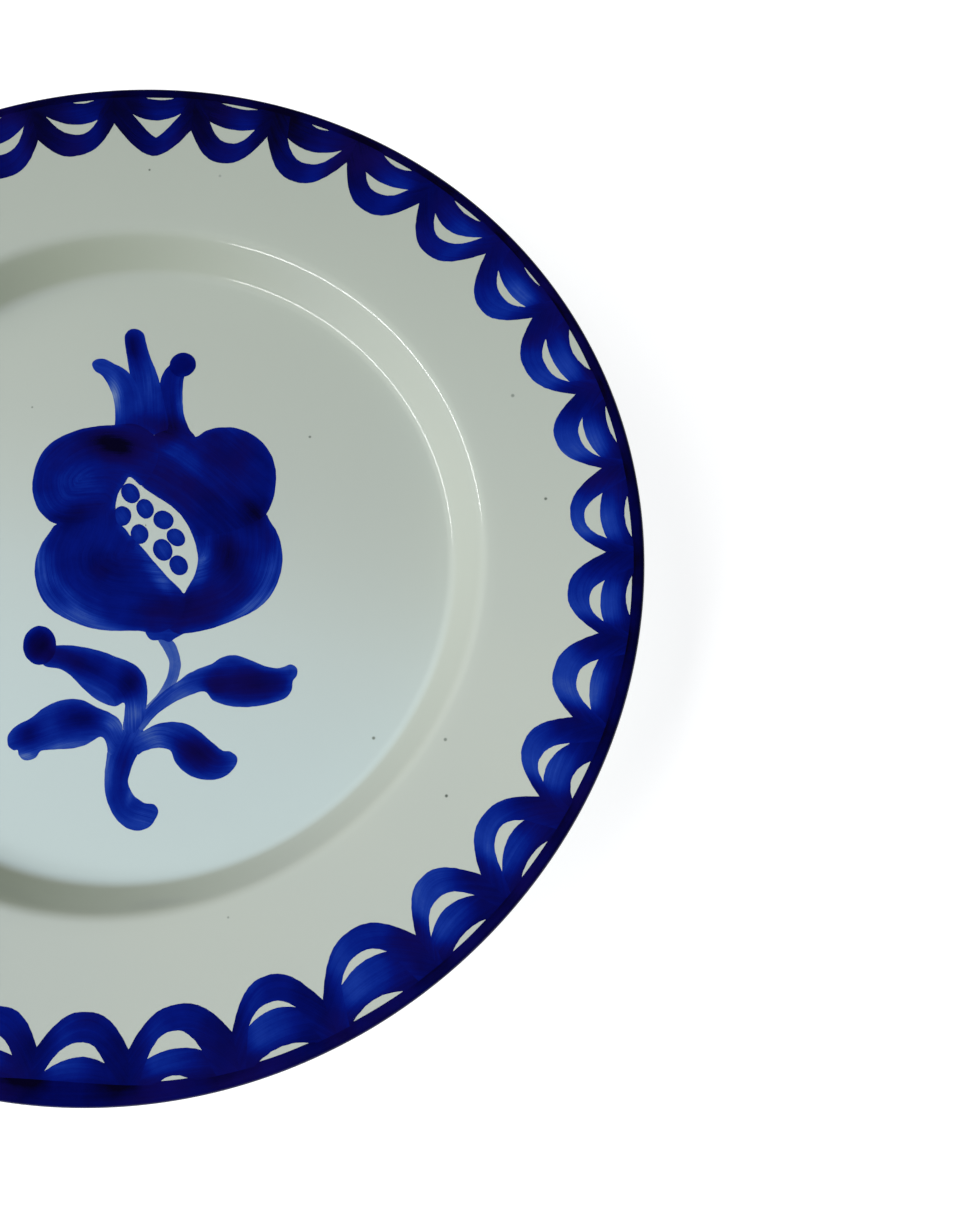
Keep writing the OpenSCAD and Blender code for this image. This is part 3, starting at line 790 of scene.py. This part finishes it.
def rim_stroke():
    """The line on the lip: turned, with edges that wander."""
    lip = resampled(face[face[:, 0] > line_r - 6.0], 0.12)
    run = np.concatenate([[0], np.cumsum(np.hypot(*np.diff(lip, axis=0).T))])
    top = int(np.argmax(lip[:, 1]))
    start = np.interp(line_r, lip[:top, 0], run[:top])
    heading = np.gradient(lip, axis=0)
    heading /= np.hypot(*heading.T)[:, None]
    steps, sections, normals, depth, brush = 22, [], [], [], []
    for j in range(SEGMENTS):
        a = 2 * math.pi * j / SEGMENTS
        c, s = math.cos(a), math.sin(a)
        broad = (2.6 * math.exp(-((a - 4.625) / 0.157) ** 2)
                 + 1.3 * math.exp(-((a - 4.817) / 0.28) ** 2))
        first = start - 0.28 - 0.22 * noise.noise(Vector((9 * c, 9 * s, 0.4))) - broad
        last = run[-1] - 0.25 - 0.2 * noise.noise(Vector((9 * c, 9 * s, 5)))
        at = first + (last - first) * (0.5 - 0.5 * np.cos(np.linspace(0, math.pi, steps)))
        p = np.column_stack([np.interp(at, run, lip[:, k]) for k in range(2)])
        t = np.column_stack([np.interp(at, run, heading[:, k]) for k in range(2)])
        out = np.column_stack([-t[:, 1], t[:, 0]])
        ends = np.minimum(at - first, last - at)
        thick = FILM_EDGE_MM + (FILM_MM + 0.02 - FILM_EDGE_MM) * smoothstep(0, FILM_FADE_MM, ends)
        sections.append(np.vstack([p - out * SINK_MM, (p + out * thick[:, None])[::-1]]))
        out = np.vstack([-out, out[::-1]])
        normals += [(c * r, s * r, z) for r, z in out / np.hypot(*out.T)[:, None]]
        both = np.concatenate([at, at[::-1]])
        depth += list(rim_depth(a, both - start))
        brush += [(a * line_r, q * 1.6, 0.0) for q in both]
    verts, faces = turned(sections)
    piece = new_piece("rim_line_stroke", verts, faces, paints["cobalt_dark"], "cobalt_dark",
                      ["rim_line"], (len(faces), normals))
    paint_on(piece, depth, brush, np.zeros(len(depth)))


rim_stroke()

# ------------------------------------------------------------ cobalt: motif
# Where cobalt has pooled (above 0) or was wiped thin (below 0):
# x, y, half length, half width in mm, lean in degrees, amount
POOLS = [
    (-10, 37, 10, 5.5, -12, 0.42), (6, 42, 8, 5, 15, 0.26), (-19, 14, 7, 5, 40, 0.15),
    (34, 15, 6, 6, -60, 0.18), (12, -14, 14, 6, 5, 0.2), (27, 1, 5, 10, 20, 0.2),
    (-10, -2, 9, 6, -30, 0.15), (18, 22, 12, 5, -45, 0.12), (-26, 13, 5, 3, 0, 0.12),
    (24, 33, 7, 5, 0, 0.08), (-20, 23, 9, 6, 10, -0.14), (-28, 17, 4, 5, 30, -0.08),
    (12, 32, 14, 4.5, -42, -0.17), (-27.5, -4, 3.4, 10, 12, -0.25),
    (-16, -17, 14, 3.2, -22, -0.26), (-20, -10, 8, 2, -48, -0.14), (7, -6, 8, 2.4, -52, -0.3),
    (19.5, 0, 2.4, 9, -8, -0.28), (39, -4, 3.6, 9, -10, -0.25), (34, -14, 10, 2.6, 32, -0.28),
    (-10.5, 53.5, 2.2, 7.5, 12, -0.4), (-6, 69, 3, 6, 12, 0.3), (0, 57, 3, 8, -12, -0.12),
    (10.6, 50, 1.8, 8, 3, -0.34), (-16, 63, 4, 2.5, 0, -0.06), (-1, 44.5, 8, 3, 0, 0.1),
    (36, -37, 11, 5.5, -3, 0.37), (25, -38, 5, 4, 0, 0.22), (46, -33, 3, 3, 0, -0.1),
    (-14, -31.5, 12, 3, -25, 0.24), (0, -37, 4, 6, 0, 0.26), (-8, -41, 7, 2, -35, -0.14),
    (-27, -26, 5, 5, 0, 0.13), (2, -46, 3.2, 5, 0, -0.3), (9, -42, 8, 2, 42, -0.12),
    (-13, -47.5, 7, 4, 0, 0.3), (-28, -52, 4, 4, 20, 0.26), (-15, -55, 9, 1.8, 5, -0.2),
    (-28, -58.4, 3, 1.6, 0, -0.26), (-4, -49, 2.4, 4, 60, -0.22), (8, -53, 6, 3.5, 0, -0.24),
    (21, -57.5, 8, 5, -30, 0.36), (31, -60, 2, 2.4, 0, -0.1), (16, -40, 6, 4, 35, -0.14),
    (-4.4, -62, 1.4, 9, 0, -0.2), (6, -76, 4, 3, 0, -0.16), (0, -62, 2.4, 8, 0, 0.14),
    (3, -68, 1.2, 5, -20, -0.2),
]
# For each node: depth of cobalt, how much less of it lies at free edges, and the path
# that the brush took
BRUSHED = {
    "fruit_upper_left": (0.66, 0.1, [(4, 34), (-8, 37), (-20, 35), (-27, 27), (-24, 18),
                                     (-12, 18)]),
    "fruit_upper_right": (0.7, 0.1, [(-4, 38), (8, 34), (18, 27), (27, 19), (34, 12)]),
    "fruit_lower_left": (0.64, 0.12, [(-22, 12), (-25, 2), (-22, -9), (-12, -16), (0, -18),
                                      (12, -19)]),
    "fruit_lower_right": (0.66, 0.12, [(37, 14), (38, 4), (36, -6), (29, -14), (18, -18),
                                       (8, -20)]),
    "fruit_base": (0.54, 0.06, [(2, -22), (15, -22)]),
    "seeds": (0.47, -0.1, [(-6, 22), (12, -3)]),
    "crown_left": (0.55, 0.06, [(-19, 64), (-12, 61), (-7, 54), (-5, 40)]),
    "crown_middle": (0.57, 0.06, [(-6, 76), (-4, 68), (-1, 58), (1, 40)]),
    "crown_right": (0.68, 0.06, [(8, 66), (6, 58), (7, 48), (10, 38)]),
    "crown_bead": (0.78, 0.1, [(6, 64), (14, 64)]),
    "stem": (0.3, 0.05, [(9, -23), (12.5, -30), (11, -38), (5, -46)]),
    "stem_foot": (0.54, 0.08, [(2, -50), (-1, -58), (-2, -66), (1, -74), (9, -77)]),
    "leaf_upper_left": (0.56, 0.12, [(-30, -27), (-20, -29), (-8, -34), (0, -40), (2, -52)]),
    "leaf_bud": (0.74, 0.16, [(-30, -30), (-24, -22)]),
    "leaf_upper_right": (0.52, 0.16, [(0, -54), (8, -45), (17, -38), (30, -36), (48, -35)]),
    "leaf_lower_left": (0.52, 0.1, [(-2, -54), (-6, -49), (-16, -49), (-28, -53), (-34, -55)]),
    "leaf_lower_right": (0.52, 0.1, [(2, -55), (10, -52), (19, -56), (25, -61), (32, -61)]),
}


def pooled(x, y):
    """Cobalt more or less than the stroke's own at places in mm."""
    total = 0.0
    for px, py, long, wide, lean, amount in POOLS:
        c, s = math.cos(math.radians(lean)), math.sin(math.radians(lean))
        u = ((x - px) * c + (y - py) * s) / long
        v = ((y - py) * c - (x - px) * s) / wide
        total = total + amount * np.exp(-(u * u + v * v) * 1.4)
    return total


def along_path(path, x, y):
    """Places along a path, and signed distances from it, in mm."""
    near, along, across, run = np.full(len(x), 1e9), np.zeros(len(x)), np.zeros(len(x)), 0.0
    for p, q in zip(path, path[1:]):
        dx, dy = q[0] - p[0], q[1] - p[1]
        length = math.hypot(dx, dy)
        k = np.clip(((x - p[0]) * dx + (y - p[1]) * dy) / length ** 2, 0, 1)
        gap = np.hypot(x - p[0] - k * dx, y - p[1] - k * dy)
        side = np.sign(dx * (y - p[1]) - dy * (x - p[0]))
        closer = gap < near
        along[closer] = (run + k * length)[closer]
        across[closer] = (side * gap)[closer]
        near = np.minimum(near, gap)
        run += length
    return along, across


def smooth_path(points):
    """The path drawn as a smooth curve."""
    p = np.array([2 * np.array(points[0]) - points[1], *points,
                  2 * np.array(points[-1]) - points[-2]], float)
    curve = []
    for i in range(1, len(p) - 2):
        for s in np.linspace(0, 1, 6, endpoint=False):
            curve.append(0.5 * (2 * p[i] + (p[i + 1] - p[i - 1]) * s
                                + (2 * p[i - 1] - 5 * p[i] + 4 * p[i + 1] - p[i + 2]) * s ** 2
                                + (3 * p[i] - p[i - 1] - 3 * p[i + 1] + p[i + 2]) * s ** 3))
    return curve + [p[-2]]


def motif_colouring(node, seed):
    """A colouring for paint_piece that follows the path of the brush."""
    base, paler, path = BRUSHED[node]
    path = smooth_path(path)

    def colouring(_, x, y, gap):
        along, across = along_path(path, x, y)
        edge = paler * (1 - smoothstep(0, EDGE_BAND_MM, gap))
        extra = pooled(x, y)
        return base - edge + extra, along, across, seed * 7.0, np.clip(-5 * extra, 0, 1)
    return colouring


for seed, node in enumerate(BRUSHED):
    paint_piece(node + "_stroke", strokes[node], node, motif_colouring(node, seed), seed * 0.001)

# ------------------------------------------------------------------- stage
bpy.ops.mesh.primitive_plane_add(size=12, location=(0, 0, -0.0002))
floor = bpy.context.object
floor.name = "floor"
pale, _, shader, _ = material("pale_floor")
shader.inputs["Base Color"].default_value = (0.46, 0.465, 0.48, 1)
shader.inputs["Emission Color"].default_value = (1, 1, 1, 1)
shader.inputs["Emission Strength"].default_value = 0.75
shader.inputs["Roughness"].default_value = 0.9
shader.inputs["Specular IOR Level"].default_value = 0.0
floor.data.materials.append(pale)
floor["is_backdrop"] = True


def softbox(name, azimuth, elevation, distance, width, height, watts, colour, mirrored=False):
    """An area light that looks at the plate, at degrees from +X and above the table."""
    light = bpy.data.lights.new(name, "AREA")
    light.shape, light.size, light.size_y = "RECTANGLE", width, height
    light.energy, light.color = watts, colour
    a, e = math.radians(azimuth), math.radians(elevation)
    towards = Vector((math.cos(a) * math.cos(e), math.sin(a) * math.cos(e), math.sin(e)))
    lamp = bpy.data.objects.new(name, light)
    lamp.location = towards * distance
    lamp.rotation_euler = towards.to_track_quat("Z", "Y").to_euler()
    lamp.visible_glossy = mirrored
    bpy.context.scene.collection.objects.link(lamp)


softbox("window", 199, 38, 2.4, 2.6, 0.24, 48, (1.0, 1.0, 1.0), True)
softbox("main", 171, 40, 3.0, 4.6, 2.1, 83, (1.0, 0.985, 0.92))
softbox("high", -50, 62, 1.9, 2.0, 2.0, 15.5, (0.92, 0.96, 1.0))

# The world is pale where the camera sees it, and almost dark as a light
world = bpy.data.worlds.new("studio")
world.use_nodes = True
bpy.context.scene.world = world
links, made = world.node_tree.links, world.node_tree.nodes
dim = made["Background"]
dim.inputs["Color"].default_value = (0.015, 0.016, 0.017, 1)
seen = made.new("ShaderNodeBackground")
seen.inputs["Color"].default_value = (0.95, 0.95, 0.95, 1)
rays = made.new("ShaderNodeLightPath")
mix = made.new("ShaderNodeMixShader")
links.new(rays.outputs["Is Camera Ray"], mix.inputs["Fac"])
links.new(dim.outputs[0], mix.inputs[1])
links.new(seen.outputs[0], mix.inputs[2])
links.new(mix.outputs[0], made["World Output"].inputs["Surface"])
bpy.context.scene.view_settings.view_transform = "Standard"

# ------------------------------------------------------------------ camera
lens = bpy.data.cameras.new("camera")
lens.sensor_fit, lens.sensor_width, lens.lens = "HORIZONTAL", 36, 42.68
lens.clip_start, lens.clip_end = 0.01, 50
camera = bpy.data.objects.new("camera", lens)
bpy.context.scene.collection.objects.link(camera)
camera.location = (0.0954, -0.0933, 0.3489)
camera.rotation_euler = (math.radians(12.97), math.radians(-1.43), math.radians(-0.16))
bpy.context.scene.camera = camera

# The CAD box, and the box of the visual model
boxes = {"cad": cad_box, "visual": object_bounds()}
plain = {k: [[float(c) for c in corner] for corner in box] for k, box in boxes.items()}
